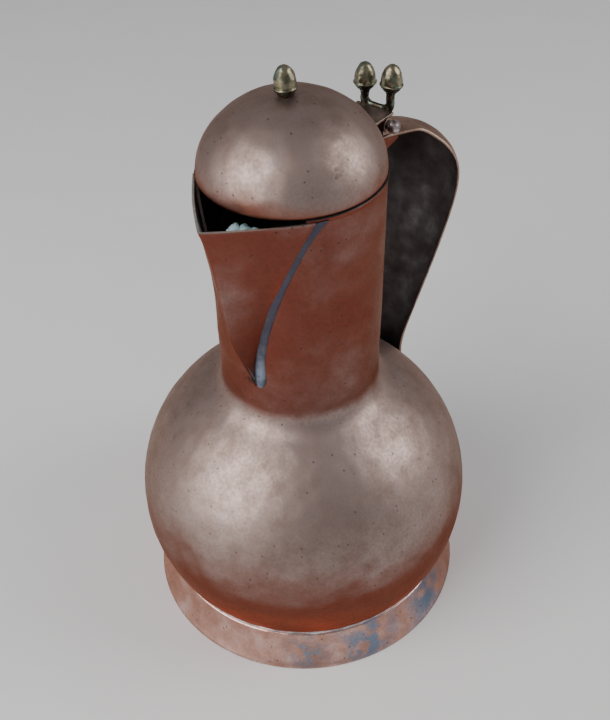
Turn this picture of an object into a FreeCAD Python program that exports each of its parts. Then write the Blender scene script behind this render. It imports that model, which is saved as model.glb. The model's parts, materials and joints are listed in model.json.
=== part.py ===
"""Hand-raised copper jug with a V spout, a strap handle and a hinged domed lid.

Frame: +Z up, the foot stands on z = 0 and the origin is on the jug's axis.
The spout points to -Y, the handle to +Y, and the lid's hinge pin lies along X.
All sizes are in millimetres.
"""
import FreeCAD, Part
import math
import os

V = FreeCAD.Vector
ORIGIN = V(0, 0, 0)
X_AXIS = V(1, 0, 0)
Z_AXIS = V(0, 0, 1)

# Vessel: a slightly flattened globe that is raised into a nearly straight neck.
globe_radius = 80.0
globe_half_height = 76.5
globe_centre_z = 56.3
sheet = 1.3                   # thickness of the raised copper
base_z = 4.0                  # the flat bottom hangs this high inside the foot
base_radius = 50.0
rim_z = 232.3
rim_radius = 38.6
rim_thickness = 2.0           # the rim is hammered thicker than the sheet
neck_foot_z = 133.0
neck_foot_radius = 36.4
shoulder_radius = 43.5        # where the globe starts to turn into the neck

# Foot: a flared ring of sheet soldered under the globe.
foot_radius = 77.6
foot_top_z = 19.0
foot_waist_radius = 72.9
foot_waist_z = 8.0
foot_thickness = 1.5
solder_rise = 3.0             # height of the solder fillet over the foot ring

# Spout: one sheet folded into a V and soldered over a window in the neck.
spout_sheet = 1.0
sheet_stand_off = 0.5         # the sheet's outer face stands this proud at its seams
spout_apex_z = 146.0
spout_lip_z = 231.0           # the lip lies just below the neck's rim
spout_lip_angle = math.radians(50.0)
seam_bow = 1.6                # 1 would make the V of the seams straight-sided
spout_lean = math.radians(9.5)   # the apex sits this far round towards +X
window_margin = math.radians(3.0)
window_least = math.radians(0.5)
seam_width = math.radians(4.4)
seam_height = 0.9
drop_radius = 5.0             # the drop of solder at the apex
# Stations up the spout's front crease: height, and reach beyond the neck's wall.
crease_stations = [(149.0, 2.0), (158.0, 5.6), (169.0, 9.6), (180.0, 12.0),
                   (192.0, 12.3), (206.0, 12.5), (218.0, 13.6), (spout_lip_z, 16.3)]

# Handle: a broad arched strap from the neck's rim to the globe's shoulder.
strap_thickness = 1.5
strap_sections = 30
bracket_half_width = 7.8
# Side view (y, z) of the gusset under the strap's root, before the strap is cut away.
bracket_profile = [(34.0, 213.5), (44.0, 215.5), (64.0, 220.0), (62.0, 226.0), (34.0, 230.0)]
foot_solder_margin = 1.7      # how far the solder runs past the strap's edges
foot_solder_height = 11.0

# Hinge: two knuckles on the handle, one on the lid, and a ball-ended pin.
hinge_y = 53.3
hinge_z = 230.8
knuckle_radius = 3.0
knuckle_inner = 3.3           # half width of the gap between the fixed knuckles
knuckle_outer = 9.3
knuckle_foot_inset = 0.8      # keeps the feet inside the strap's edges
knuckle_foot_width = 5.0      # how much of the strap's length a foot covers
lid_knuckle_half = 3.1
pin_radius = 1.4
running_fit = 0.05            # radial clearance of the pin in the lid's knuckle
ball_radius = 2.9
ball_x = 12.0

# Lid: a raised dome whose edge sits on the neck's rim.
lid_gap = 0.2
lid_radius = 37.4
lid_sheet = 1.2
lid_height = 30.8
dome_fullness = 0.57          # Bezier handle length; 0.552 would be an ellipse
leaf_half_width = 9.3
leaf_thickness = 1.2
leaf_reach_z = 251.0          # how far up the dome the soldered leaf runs
leaf_clearance = 0.25         # between the leaf and the fixed knuckles
leaf_rear = 3.7               # how far the leaf runs past the pin's axis
leaf_root_y = 46.0            # the leaf narrows from here to the dome
tongue_half_width = 7.0       # the part of the leaf that lies on the dome
tongue_point = 4.0            # height of the tongue's pointed end

# Thumbpiece and finial: cast acorns.
thumb_acorn_radius = 5.0
finial_radius = 4.7
acorn_cup = 3.2
acorn_nut = 9.0
acorn_neck = 1.7
acorn_tip = 0.5
cup_rim_height = 0.7
thumb_x = 6.6
thumb_foot_y = 58.1
thumb_foot_z = 232.9
thumb_acorn_y = 58.4
thumb_acorn_z = 243.0
thumb_left_drop = 2.4         # the left stem was bent a little lower
stem_foot_radius = 1.9
fork_bar_width = 2.2
fork_bar_height = 1.8
spigot_radius = 1.5
rivet_head_radius = 2.4
rivet_head_height = 0.8
washer_radius = 4.5
washer_thickness = 0.9


def line(a, b):
    return Part.makeLine(a, b)


def bezier(*poles):
    """A Bezier edge through its first and last pole."""
    curve = Part.BezierCurve()
    curve.setPoles(list(poles))
    return curve.toShape()


def revolve(edges):
    """Turn a closed outline in the XZ plane about the jug's axis."""
    face = Part.Face(Part.Wire(edges))
    return face.revolve(ORIGIN, Z_AXIS, 360)


def prism(points, vector):
    """Extrude a closed polygon."""
    return Part.Face(Part.makePolygon(points + points[:1])).extrude(vector)


def polygon_loft(sections):
    """Smooth solid through closed polygons that all have the same number of corners."""
    wires = [Part.makePolygon(corners + corners[:1]) for corners in sections]
    return Part.makeLoft(wires, True, False)


# ---------------------------------------------------------------- vessel

def globe_r(z):
    """Outer radius of the globe at height z."""
    level = (z - globe_centre_z) / globe_half_height
    return globe_radius * math.sqrt(1.0 - level * level)


def neck_r(z):
    """Outer radius of the neck at height z."""
    share = (z - neck_foot_z) / (rim_z - neck_foot_z)
    return neck_foot_radius + share * (rim_radius - neck_foot_radius)


def vessel_outline(inset, rim_inset):
    """Outline from the axis at the base, round the globe and up the neck to the rim."""
    across = globe_radius - inset
    up = globe_half_height - inset
    ellipse = Part.Ellipse(V(across, 0, globe_centre_z), V(0, 0, globe_centre_z + up),
                           V(0, 0, globe_centre_z))
    top = math.acos((shoulder_radius - inset) / across)
    bottom = -math.asin((globe_centre_z - base_z - 3.0) / up)
    wall = ellipse.toShape(bottom, top)
    low = ellipse.value(bottom)
    high = ellipse.value(top)
    base_edge = V(base_radius, 0, base_z + inset)
    base_corner = V(low.x - 4.0, 0, base_z + inset)
    slope = -up * math.cos(top) / (across * math.sin(top))
    neck_foot = V(neck_foot_radius - inset, 0, neck_foot_z)
    shoulder = V(neck_foot.x, 0, high.z + slope * (neck_foot.x - high.x))
    rim = V(rim_radius - rim_inset, 0, rim_z)
    return [line(V(0, 0, base_z + inset), base_edge), bezier(base_edge, base_corner, low),
            wall, bezier(high, shoulder, neck_foot), line(neck_foot, rim)]


def vessel_solid(inset, rim_inset):
    """The vessel's outline filled to a solid, closed at the rim."""
    outline = vessel_outline(inset, rim_inset)
    rim = V(rim_radius - rim_inset, 0, rim_z)
    top = V(0, 0, rim_z)
    return revolve(outline + [line(rim, top), line(top, V(0, 0, base_z + inset))])


def body_shell():
    """Globe and neck, raised from one sheet, with the window behind the spout."""
    shell = vessel_solid(0.0, 0.0).cut(vessel_solid(sheet, rim_thickness))
    return shell.cut(spout_window())


def foot_ring():
    outer_top = V(globe_r(foot_top_z) + 1.1, 0, foot_top_z)
    inner_top = V(outer_top.x - foot_thickness, 0, foot_top_z)
    outer_foot = V(foot_radius, 0, 0)
    inner_foot = V(foot_radius - foot_thickness, 0, 0)
    waist = V(foot_waist_radius, 0, foot_waist_z)
    inner_waist = V(foot_waist_radius - foot_thickness, 0, foot_waist_z)
    ring = revolve([bezier(outer_foot, waist, outer_top), line(outer_top, inner_top),
                    bezier(inner_top, inner_waist, inner_foot), line(inner_foot, outer_foot)])
    return ring.cut(vessel_solid(0.0, 0.0))


def foot_solder_seam():
    """Fillet of solder in the groove between the foot ring and the globe."""
    groove = V(globe_r(foot_top_z) - 0.5, 0, foot_top_z)
    outer = V(globe_r(foot_top_z) + 1.1, 0, foot_top_z)
    upper = V(globe_r(foot_top_z + solder_rise) + 0.1, 0, foot_top_z + solder_rise)
    fillet = revolve([line(groove, outer), line(outer, upper), line(upper, groove)])
    return fillet.cut(vessel_solid(0.0, 0.0))


# ---------------------------------------------------------------- spout

def spout_share(z):
    """0 at the spout's apex, 1 at its lip."""
    return (z - spout_apex_z) / (spout_lip_z - spout_apex_z)


def seam_angle(z):
    """Angle from the spout's middle to the line where its sheet meets the neck."""
    return spout_lip_angle * spout_share(z) ** seam_bow


def leaned(points):
    """Turn a section of the spout by the lean that its height has."""
    angle = spout_lean * (1.0 - spout_share(points[0].z))
    turn = FreeCAD.Rotation(Z_AXIS, math.degrees(angle))
    return [turn.multVec(point) for point in points]


def v_section(z, beyond, thickness):
    """Triangle of the folded sheet at height z, moved inwards by a thickness."""
    side_x = (neck_r(z) + sheet_stand_off) * math.sin(seam_angle(z))
    side_y = (neck_r(z) + sheet_stand_off) * math.cos(seam_angle(z))
    reach = neck_r(z) + beyond
    half_fold = math.atan2(side_x, reach - side_y)
    crease = reach - thickness / math.sin(half_fold)
    back = side_y - (1.0 if thickness else 0.0)
    half = (crease - back) * math.tan(half_fold)
    return leaned([V(0, -crease, z), V(half, -back, z), V(-half, -back, z)])


def spout_outside():
    return polygon_loft([v_section(z, beyond, 0.0) for z, beyond in crease_stations])


def spout():
    hollow = [v_section(z, beyond, spout_sheet) for z, beyond in crease_stations[1:]]
    inside = polygon_loft(hollow)
    mouth = prism(hollow[-1], Z_AXIS)
    return spout_outside().cut([vessel_solid(0.0, 0.0), inside, mouth]).removeSplitter()


def fan(z):
    """Triangle from the axis out through the neck's wall, inside the two seams."""
    reach = 2.0 * rim_radius
    spread = max(seam_angle(z) - window_margin, window_least)
    x = reach * math.sin(spread)
    y = reach * math.cos(spread)
    return leaned([V(0, 0, z), V(x, -y, z), V(-x, -y, z)])


def spout_window():
    """The V cut out of the neck's wall behind the spout."""
    fans = [fan(z) for z, beyond in crease_stations[2:]]
    above = prism(fans[-1], Z_AXIS * (rim_z - spout_lip_z + 1.0))
    return polygon_loft(fans).fuse(above)


def seam_section(z, side):
    """Four corners of the solder bead on one side of the spout at height z."""
    inner = seam_angle(z) - math.radians(1.0)
    outer = seam_angle(z) + seam_width
    corners = [(neck_r(z) - 0.6, inner), (neck_r(z) + seam_height, inner),
               (neck_r(z) + seam_height, outer), (neck_r(z) - 0.6, outer)]
    return leaned([V(side * r * math.sin(a), -r * math.cos(a), z) for r, a in corners])


def spout_solder_seam():
    """The V of solder that holds the spout: two beads that meet in a drop."""
    heights = [spout_apex_z] + [z for z, beyond in crease_stations]
    right = polygon_loft([seam_section(z, 1) for z in heights])
    left = polygon_loft([seam_section(z, -1) for z in heights])
    apex = leaned([V(0, drop_radius - 0.9 - neck_r(spout_apex_z), spout_apex_z)])[0]
    beads = right.fuse([left, Part.makeSphere(drop_radius, apex)])
    return beads.cut([spout_outside(), vessel_solid(0.0, 0.0)])


# ---------------------------------------------------------------- handle

# Stations down the strap: y and z of its edges, half width, rise of its arch.
strap_stations = [
    (35.0, 229.8, 8.6, 0.8),
    (46.0, 227.4, 8.7, 0.8),
    (57.0, 225.0, 8.8, 0.8),
    (70.0, 221.6, 9.4, 0.8),
    (80.0, 218.0, 11.0, 1.4),
    (87.0, 211.4, 16.0, 5.2),
    (92.2, 202.8, 20.4, 8.8),
    (95.2, 190.0, 21.6, 8.4),
    (95.2, 174.0, 19.6, 5.0),
    (91.8, 153.5, 16.2, 2.0),
    (85.4, 133.5, 13.2, 0.9),
    (77.8, 114.5, 10.6, 0.6),
    (73.2, 101.5, 9.2, 0.5),
    (73.0, 90.5, 8.6, 0.4),
    (76.5, 81.0, 8.2, 0.4),
]


def along_path(points):
    """Share of the path's length at each point, measured straight from point to point."""
    run = [0.0]
    for a, b in zip(points, points[1:]):
        run.append(run[-1] + a.distanceToPoint(b))
    return [length / run[-1] for length in run]


def interpolated(points, parameters):
    curve = Part.BSplineCurve()
    curve.interpolate(Points=points, Parameters=parameters)
    return curve


def strap_section(path, profile, t):
    """Arched cross-section of the strap, square to its path."""
    centre = path.value(t)
    along = path.tangent(t)[0]
    out = X_AXIS.cross(along)
    half = profile.value(t).x
    rise = profile.value(t).y
    inward = out * -strap_thickness
    left = centre - X_AXIS * half
    right = centre + X_AXIS * half
    crown = centre + out * rise
    outer = Part.Arc(left, crown, right).toShape()
    inner = Part.Arc(right + inward, crown + inward, left + inward).toShape()
    return Part.Wire([outer, line(right, right + inward), inner, line(left + inward, left)])


def handle_strap():
    """The strap, its upper end on the neck and its lower end on the globe."""
    centres = [V(0, y, z) for y, z, half, rise in strap_stations]
    shares = along_path(centres)
    path = interpolated(centres, shares)
    profile = interpolated([V(half, rise, share) for share, (y, z, half, rise)
                            in zip(shares, strap_stations)], shares)
    steps = [i / strap_sections for i in range(strap_sections + 1)]
    wires = [strap_section(path, profile, t) for t in steps]
    return Part.makeLoft(wires, True, False).cut(vessel_solid(0.0, 0.0))


def handle_root_bracket(strap):
    """Gusset soldered between the neck and the strap's underside."""
    side = [V(-bracket_half_width, y, z) for y, z in bracket_profile]
    gusset = prism(side, X_AXIS * (2 * bracket_half_width))
    pieces = gusset.cut([vessel_solid(0.0, 0.0), strap]).Solids
    return min(pieces, key=lambda piece: piece.BoundBox.ZMin)


def handle_foot_solder(strap):
    """Fillet of solder round the strap's lower end on the globe."""
    y, z, half = strap_stations[-1][:3]
    reach = half + foot_solder_margin
    pad = Part.makeBox(2 * reach, 30.0, foot_solder_height, V(-reach, y - 15.0, z - 2.0))
    return vessel_solid(-seam_height, 0.0).common(pad).cut([vessel_solid(0.0, 0.0), strap])


# ---------------------------------------------------------------- hinge

def hinge_cylinder(radius, start, end):
    return Part.makeCylinder(radius, end - start, V(start, hinge_y, hinge_z), X_AXIS)


def hinge_knuckle(side, strap):
    """Fixed knuckle with a foot that stands on the strap."""
    start = min(side * knuckle_inner, side * knuckle_outer)
    end = max(side * knuckle_inner, side * knuckle_outer)
    barrel = hinge_cylinder(knuckle_radius, start, end)
    foot_start = max(start, knuckle_foot_inset - knuckle_outer)
    foot_end = min(end, knuckle_outer - knuckle_foot_inset)
    foot = Part.makeBox(foot_end - foot_start, knuckle_foot_width, 2 * knuckle_radius,
                        V(foot_start, hinge_y - knuckle_foot_width / 2,
                          hinge_z - 2 * knuckle_radius))
    body = barrel.fuse(foot).cut(hinge_cylinder(pin_radius + running_fit, start, end)).cut(strap)
    top = max(body.Solids, key=lambda piece: piece.BoundBox.ZMax)
    return top.removeSplitter()


def turned_on_pin(edges):
    """Turn a closed outline (distance along the pin, radius) about the pin's axis."""
    face = Part.Face(Part.Wire(edges))
    return face.revolve(V(0, hinge_y, hinge_z), X_AXIS, 360)


def on_pin(x, radius):
    """Point of an outline at x along the pin and a radius from its axis."""
    return V(x, hinge_y, hinge_z + radius)


def hinge_pin():
    """Pin with a ball turned on its left end."""
    mouth = -ball_x + math.sqrt(ball_radius ** 2 - pin_radius ** 2)
    ball = Part.Arc(on_pin(-ball_x - ball_radius, 0), on_pin(-ball_x, ball_radius),
                    on_pin(mouth, pin_radius)).toShape()
    return turned_on_pin([ball, line(on_pin(mouth, pin_radius), on_pin(ball_x, pin_radius)),
                          line(on_pin(ball_x, pin_radius), on_pin(ball_x, 0)),
                          line(on_pin(ball_x, 0), on_pin(-ball_x - ball_radius, 0))])


def hinge_pin_ball():
    """Ball riveted on the pin's right end."""
    mouth = ball_x - math.sqrt(ball_radius ** 2 - pin_radius ** 2)
    ball = Part.Arc(on_pin(mouth, pin_radius), on_pin(ball_x, ball_radius),
                    on_pin(ball_x + ball_radius, 0)).toShape()
    return turned_on_pin([ball, line(on_pin(ball_x + ball_radius, 0), on_pin(ball_x, 0)),
                          line(on_pin(ball_x, 0), on_pin(ball_x, pin_radius)),
                          line(on_pin(ball_x, pin_radius), on_pin(mouth, pin_radius))])


# ---------------------------------------------------------------- lid

def dome_solid(inset):
    """Solid dome on the rim plane, its outline moved inwards by an inset."""
    low = rim_z + lid_gap
    radius = lid_radius - inset
    height = lid_height - inset
    edge = V(radius, 0, low)
    top = V(0, 0, low + height)
    centre = V(0, 0, low)
    side = bezier(edge, V(radius, 0, low + dome_fullness * height),
                  V(dome_fullness * radius, 0, low + height), top)
    return revolve([side, line(top, centre), line(centre, edge)])


def lid_dome():
    spigot_hole = Part.makeCylinder(spigot_radius, 10, V(0, 0, rim_z + lid_height - 6))
    return dome_solid(0.0).cut(dome_solid(lid_sheet)).cut(spigot_hole)


def lid_hinge_leaf():
    """Leaf soldered up the back of the dome, with the lid's knuckle under its end."""
    under = hinge_z + knuckle_radius + leaf_clearance
    rear = hinge_y + leaf_rear
    half = tongue_half_width
    side_z = leaf_reach_z - tongue_point
    tongue = prism([V(-half, 0, rim_z), V(half, 0, rim_z), V(half, 0, side_z),
                    V(0, 0, leaf_reach_z), V(-half, 0, side_z)], V(0, leaf_root_y, 0))
    above = Part.makeBox(40, 60, 40, V(-20, 0, under))
    lap = dome_solid(-leaf_thickness).common(tongue).common(above)
    plate = prism([V(-leaf_half_width, rear, under), V(leaf_half_width, rear, under),
                   V(leaf_half_width, leaf_root_y, under), V(half + 1.0, 30, under),
                   V(-half - 1.0, 30, under), V(-leaf_half_width, leaf_root_y, under)],
                  Z_AXIS * leaf_thickness)
    knuckle = hinge_cylinder(knuckle_radius, -lid_knuckle_half, lid_knuckle_half)
    web = Part.makeBox(2 * lid_knuckle_half, knuckle_foot_width, knuckle_radius + 0.8,
                       V(-lid_knuckle_half, hinge_y - knuckle_foot_width / 2, hinge_z))
    bore = hinge_cylinder(pin_radius + running_fit, -lid_knuckle_half, lid_knuckle_half)
    return lap.fuse([plate, knuckle, web]).cut(bore).cut(dome_solid(0.0)).removeSplitter()


# ---------------------------------------------------------------- thumbpiece and finial

def acorn(radius):
    """Acorn standing on the origin: neck, cup with a raised rim, and pointed nut."""
    rim_top = acorn_cup + cup_rim_height
    tip_z = acorn_cup + acorn_nut
    neck = V(acorn_neck, 0, 0)
    cup_edge = V(radius, 0, acorn_cup)
    rim_edge = V(radius, 0, rim_top)
    nut_foot = V(radius - 0.35, 0, rim_top + 0.2)
    tip = V(acorn_tip, 0, tip_z - 0.3)
    top = V(0, 0, tip_z)
    nut = bezier(nut_foot, V(radius - 0.2, 0, acorn_cup + 5.2),
                 V(acorn_tip + 1.1, 0, tip_z - 1.4), tip)
    return revolve([line(ORIGIN, neck), bezier(neck, V(radius - 0.8, 0, 0.7), cup_edge),
                    line(cup_edge, rim_edge), line(rim_edge, nut_foot), nut,
                    line(tip, top), line(top, ORIGIN)])


def stem_ends(side):
    """Foot and head of one stem of the thumb fork."""
    drop = thumb_left_drop if side < 0 else 0.0
    foot = V(side * thumb_x, thumb_foot_y, thumb_foot_z)
    head = V(side * thumb_x, thumb_acorn_y, thumb_acorn_z - drop)
    return foot, head


def thumb_fork():
    """Fork of two stems on a low bar that is soldered behind the leaf."""
    half_length = thumb_x + stem_foot_radius
    front = hinge_y + leaf_rear
    bar = Part.makeBox(2 * half_length, fork_bar_width, fork_bar_height,
                       V(-half_length, front, thumb_foot_z))
    stems = []
    for side in (-1, 1):
        foot, head = stem_ends(side)
        axis = head - foot
        length = axis.Length
        stems.append(Part.makeCone(stem_foot_radius, acorn_neck, length, foot, axis))
    fork = bar.fuse(stems)
    trim_front = Part.makeBox(40, 10, 20, V(-20, front - 10, thumb_foot_z - 5))
    trim_below = Part.makeBox(40, 40, 5, V(-20, front, thumb_foot_z - 5))
    return fork.cut([trim_front, trim_below]).removeSplitter()


def thumb_acorn(side):
    foot, head = stem_ends(side)
    axis = head - foot
    piece = acorn(thumb_acorn_radius)
    tilt = math.degrees(Z_AXIS.getAngle(axis))
    piece.rotate(ORIGIN, X_AXIS, -tilt)
    piece.translate(head)
    return piece


def finial_acorn():
    """Acorn on the lid with a spigot riveted over inside the dome."""
    top = rim_z + lid_gap + lid_height
    spigot_end = top - lid_sheet - washer_thickness - rivet_head_height - 0.1
    piece = acorn(finial_radius)
    piece.translate(V(0, 0, top))
    seat = Part.makeCylinder(acorn_neck + 0.9, 0.8, V(0, 0, top - 0.5)).cut(dome_solid(0.0))
    spigot = Part.makeCylinder(spigot_radius, top - spigot_end, V(0, 0, spigot_end))
    head = Part.makeCone(spigot_radius + 0.3, rivet_head_radius, rivet_head_height,
                         V(0, 0, spigot_end))
    return piece.fuse([seat, spigot, head]).removeSplitter()


def finial_washer():
    """Washer under the riveted spigot, dished to the dome's inside."""
    top = rim_z + lid_gap + lid_height - lid_sheet
    disc = Part.makeCylinder(washer_radius, washer_thickness + 0.1,
                             V(0, 0, top - washer_thickness - 0.1))
    hole = Part.makeCylinder(spigot_radius, 4, V(0, 0, top - 3))
    return disc.common(dome_solid(lid_sheet)).cut(hole)


def main():
    strap = handle_strap()
    nodes = {
        "body_shell": body_shell(),
        "foot_ring": foot_ring(),
        "foot_solder_seam": foot_solder_seam(),
        "spout": spout(),
        "spout_solder_seam": spout_solder_seam(),
        "handle_strap": strap,
        "handle_root_bracket": handle_root_bracket(strap),
        "handle_foot_solder": handle_foot_solder(strap),
        "hinge_knuckle_left": hinge_knuckle(-1, strap),
        "hinge_knuckle_right": hinge_knuckle(1, strap),
        "hinge_pin": hinge_pin(),
        "hinge_pin_ball": hinge_pin_ball(),
        "lid_dome": lid_dome(),
        "lid_hinge_leaf": lid_hinge_leaf(),
        "thumb_fork": thumb_fork(),
        "thumb_acorn_left": thumb_acorn(-1),
        "thumb_acorn_right": thumb_acorn(1),
        "finial_acorn": finial_acorn(),
        "finial_washer": finial_washer(),
    }
    os.makedirs("parts", exist_ok=True)
    for name, shape in nodes.items():
        shape.exportStep("parts/" + name + ".step")


main()
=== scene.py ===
import json
import math

import bmesh
import bpy
import numpy as np
from mathutils import Matrix, Vector, kdtree, noise


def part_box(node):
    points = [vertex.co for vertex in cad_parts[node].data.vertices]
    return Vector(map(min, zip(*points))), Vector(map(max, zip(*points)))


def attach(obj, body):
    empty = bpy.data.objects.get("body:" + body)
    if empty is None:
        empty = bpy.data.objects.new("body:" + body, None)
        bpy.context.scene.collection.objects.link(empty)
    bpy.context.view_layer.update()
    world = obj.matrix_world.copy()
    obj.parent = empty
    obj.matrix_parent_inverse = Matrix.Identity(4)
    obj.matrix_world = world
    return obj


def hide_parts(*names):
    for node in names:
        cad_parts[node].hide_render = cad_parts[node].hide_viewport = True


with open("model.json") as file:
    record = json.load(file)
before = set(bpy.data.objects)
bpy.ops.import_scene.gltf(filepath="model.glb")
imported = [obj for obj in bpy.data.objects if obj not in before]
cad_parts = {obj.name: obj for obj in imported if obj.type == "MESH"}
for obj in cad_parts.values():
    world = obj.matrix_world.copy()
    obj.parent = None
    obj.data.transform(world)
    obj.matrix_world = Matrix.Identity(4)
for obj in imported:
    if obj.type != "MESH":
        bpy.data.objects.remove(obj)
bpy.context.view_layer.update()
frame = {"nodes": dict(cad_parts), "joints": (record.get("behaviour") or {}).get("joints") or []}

MM = 0.001


def low(node):
    return np.array(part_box(node)[0]) / MM


def high(node):
    return np.array(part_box(node)[1]) / MM


hinge = np.array(frame["joints"][0]["pos_m"]) / MM
hinge_y, hinge_z = hinge[1], hinge[2]

# Vessel
globe_radius = high("body_shell")[0]
base_z = low("body_shell")[2]
rim_z = high("body_shell")[2]
globe_half_height = 76.5
globe_centre_z = 56.3
sheet = 1.3
relief_margin = 0.04
base_radius = 50.0
rim_radius = 38.6
rim_thickness = 2.0
rim_edge = 0.45
neck_foot_z = 133.0
neck_foot_radius = 36.4
shoulder_radius = 43.5
shoulder_z = 121.0
vessel_columns = 372

# Foot
foot_radius = high("foot_ring")[0]
foot_top_z = high("foot_ring")[2]
foot_waist_radius = 72.9
foot_waist_z = 8.0
foot_thickness = 1.5
foot_columns = 400

# Spout
spout_lip_z = high("spout")[2]
spout_sheet = 1.0
sheet_stand_off = 0.5
spout_apex_z = 146.0
spout_lip_angle = math.radians(50.0)
spout_lean = math.radians(9.5)
seam_bow = 1.6
window_margin = math.radians(3.0)
window_least = math.radians(0.5)
window_start_z = 158.0
crease_stations = [(146.0, 0.9), (149.0, 2.0), (158.0, 5.6), (169.0, 9.6), (180.0, 12.0),
                   (192.0, 12.3), (206.0, 12.5), (218.0, 13.6), (spout_lip_z, 16.3)]
fold_radius = 2.0
spout_belly = 1.0
face_columns = 22

# Solder beside the spout
drop_z = 152.0
strip_width = 4.0
strip_flare_z = 219.0
# Lumps in the mouth: height, place from fold (0) to seam (1), width, depth and tallness
mouth_lumps = [(228.0, 0.37, 3.2, 7.4, 1.9), (228.2, 0.28, 2.8, 9.2, 1.6),
               (227.4, 0.20, 2.0, 8.0, 1.9), (225.4, 0.34, 3.4, 8.0, 2.6),
               (228.0, 0.47, 2.8, 4.8, 1.5), (226.8, 0.58, 2.6, 3.0, 1.8),
               (222.5, 0.44, 3.0, 4.6, 3.2)]

# Handle: y and z of the strap's edges, half width, rise of its arch
strap_stations = [
    (35.0, 229.8, 8.6, 0.8), (46.0, 227.4, 8.7, 0.8), (57.0, 225.0, 8.8, 0.8),
    (70.0, 221.6, 9.4, 0.8), (80.0, 218.0, 11.0, 1.4), (87.0, 211.4, 16.0, 5.2),
    (92.2, 202.8, 20.4, 8.8), (95.2, 190.0, 21.6, 8.4), (95.2, 174.0, 19.6, 5.0),
    (91.8, 153.5, 16.2, 2.0), (85.4, 133.5, 13.2, 0.9), (77.8, 114.5, 10.6, 0.6),
    (73.2, 101.5, 9.2, 0.5), (73.0, 90.5, 8.6, 0.4), (76.5, 81.0, 8.2, 0.4)]
strap_thickness = 1.5
strap_columns = 31
strap_edge_bulge = 0.42

# Lid
lid_low = low("lid_dome")[2]
lid_top = high("lid_dome")[2]
lid_radius = high("lid_dome")[0]
lid_sheet = 1.2
lid_columns = 248
dome_fullness = 0.57
dome_radius = lid_radius + 0.6

# Acorns and hinge pin
thumb_acorn_radius = 5.0
finial_radius = 4.7
acorn_cup = 3.2
acorn_height = 12.2
acorn_neck = 1.7
ball_radius = 2.9
pin_radius = 1.4
ball_x = 12.0
ball_flat = 0.86
thumb_y = 58.4


# ---------------------------------------------------------------- curves and grids

def bezier(*poles, count=60):
    """Points along the Bezier curve of the given poles."""
    t = np.linspace(0.0, 1.0, count)[:, None]
    points = [np.repeat(np.array([pole], float), count, axis=0) for pole in poles]
    while len(points) > 1:
        points = [a + (b - a) * t for a, b in zip(points, points[1:])]
    return points[0]


def spline(knots, values, at):
    """Natural cubic spline through the values, read at the given places."""
    x, y = np.array(knots, float), np.array(values, float)
    n = len(x)
    h = np.diff(x)
    slopes = np.diff(y, axis=0) / (h[:, None] if y.ndim > 1 else h)
    system, right = np.eye(n), np.zeros_like(y)
    for i in range(1, n - 1):
        system[i, i - 1:i + 2] = h[i - 1], 2 * (h[i - 1] + h[i]), h[i]
        right[i] = 6 * (slopes[i] - slopes[i - 1])
    bend = np.linalg.solve(system, right)
    at = np.clip(np.atleast_1d(np.array(at, float)), x[0], x[-1])
    i = np.clip(np.searchsorted(x, at, side="right") - 1, 0, n - 2)
    a, b, w = x[i + 1] - at, at - x[i], h[i]
    if y.ndim > 1:
        a, b, w = a[:, None], b[:, None], w[:, None]
    return (bend[i] * a ** 3 + bend[i + 1] * b ** 3) / (6 * w) \
        + (y[i] / w - bend[i] * w / 6) * a + (y[i + 1] / w - bend[i + 1] * w / 6) * b


def run_along(points):
    """Distance along a path at each of its points."""
    return np.concatenate([[0.0], np.cumsum(np.linalg.norm(np.diff(points, axis=0), axis=1))])


def resampled(points, step):
    """The same path with points about one step apart."""
    points = np.array(points, float)
    run = run_along(points)
    at = np.linspace(0.0, run[-1], max(2, int(round(run[-1] / step)) + 1))
    return np.stack([np.interp(at, run, points[:, k]) for k in range(points.shape[1])], axis=1)


def joined(*paths):
    """One path from several that follow each other, without doubled points."""
    points = np.concatenate([np.atleast_2d(np.array(path, float)) for path in paths])
    keep = np.ones(len(points), bool)
    keep[1:] = np.linalg.norm(np.diff(points, axis=0), axis=1) > 1e-4
    return points[keep]


def grid_faces(rows, columns, rows_closed, columns_closed):
    """Four-sided faces of a grid whose points are numbered row by row."""
    i = np.arange(rows if rows_closed else rows - 1)[:, None]
    j = np.arange(columns if columns_closed else columns - 1)[None, :]
    down, across = (i + 1) % rows, (j + 1) % columns
    corners = [i * columns + j, i * columns + across, down * columns + across, down * columns + j]
    return np.stack(np.broadcast_arrays(*corners), axis=-1).reshape(-1, 4).tolist()


def tube_faces(rows, count):
    """Faces of a closed section swept through the rows, with both ends capped."""
    last = (rows - 1) * count
    return grid_faces(rows, count, False, True) + [list(range(count)),
                                                   list(range(last, last + count))]


def grid_normals(grid):
    """Unit normal at each point of an open grid."""
    normals = np.cross(np.gradient(grid, axis=1), np.gradient(grid, axis=0))
    return normals / np.maximum(np.linalg.norm(normals, axis=2, keepdims=True), 1e-9)


# ---------------------------------------------------------------- hammered relief

def scattered(points, gap, rng):
    """Random picks from the points, none nearer to another than the gap."""
    picks = points[rng.permutation(len(points))[:9000]]
    cells, kept = {}, []
    around = [(x, y, z) for x in (-1, 0, 1) for y in (-1, 0, 1) for z in (-1, 0, 1)]
    for point in picks:
        cell = tuple(int(c) for c in np.floor(point / gap))
        near = [q for d in around
                for q in cells.get((cell[0] + d[0], cell[1] + d[1], cell[2] + d[2]), ())]
        if all(np.sum((point - q) ** 2) >= gap * gap for q in near):
            cells.setdefault(cell, []).append(point)
            kept.append(point)
    return np.array(kept)


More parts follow.
